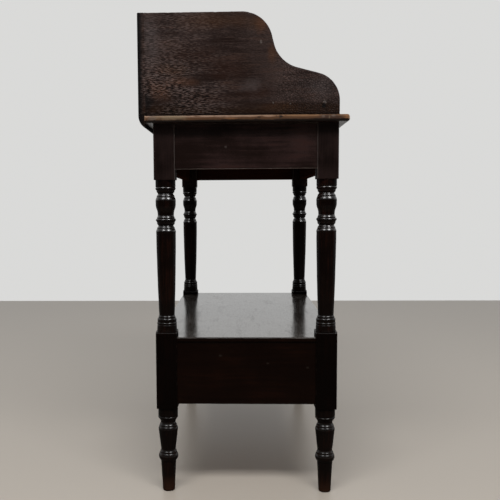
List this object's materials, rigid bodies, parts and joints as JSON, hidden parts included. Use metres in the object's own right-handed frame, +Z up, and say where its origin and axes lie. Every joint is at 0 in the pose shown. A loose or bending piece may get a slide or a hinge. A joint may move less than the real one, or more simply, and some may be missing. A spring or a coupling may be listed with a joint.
{
  "type": "washstand",
  "caption": "Dark painted wooden washstand on turned legs, with a swept gallery round its top, a frieze, and a shelf over a drawer.",
  "frame": {"origin": "on the floor, under the centre of the box round the whole piece", "axes": "+X along the length to the right as seen from the front, +Y to the back, +Z up"},
  "size_m": [0.762, 0.403, 0.929],
  "materials": {
    "painted_wood": "old near-black brown paint and varnish, semi-gloss, crazed and worn at the edges",
    "bare_wood": "bare aged pine, matt",
    "iron": "old iron, dull"
  },
  "bodies": {
    "stand": {"leg_front_left": "painted_wood", "leg_front_right": "painted_wood", "leg_back_left": "painted_wood", "leg_back_right": "painted_wood", "upper_front_rail": "painted_wood", "upper_back_rail": "painted_wood", "upper_end_rail_left": "painted_wood", "upper_end_rail_right": "painted_wood", "lower_back_rail": "painted_wood", "lower_end_rail_left": "painted_wood", "lower_end_rail_right": "painted_wood", "drawer_rail_bottom": "painted_wood", "drawer_rail_top": "painted_wood", "shelf": "painted_wood", "top_board": "painted_wood", "gallery_back": "painted_wood", "gallery_side_left": "painted_wood", "gallery_side_right": "painted_wood", "drawer_runner_left": "bare_wood", "drawer_runner_right": "bare_wood", "drawer_guide_left": "bare_wood", "drawer_guide_right": "bare_wood", "drawer_kicker_left": "bare_wood", "drawer_kicker_right": "bare_wood", "drawer_stops": "bare_wood", "top_glue_blocks": "bare_wood", "gallery_dowels": "bare_wood", "gallery_screws": "iron"},
    "drawer": {"drawer_front": "painted_wood", "drawer_knob_left": "painted_wood", "drawer_knob_right": "painted_wood", "drawer_side_left": "bare_wood", "drawer_side_right": "bare_wood", "drawer_back": "bare_wood", "drawer_bottom": "bare_wood", "drawer_bottom_screws": "iron"}
  },
  "joints": [
    {"name": "drawer_slide", "type": "slide", "parent": "stand", "child": "drawer", "axis": [0, -1, 0], "range_m": [0, 0.23]}
  ]
}
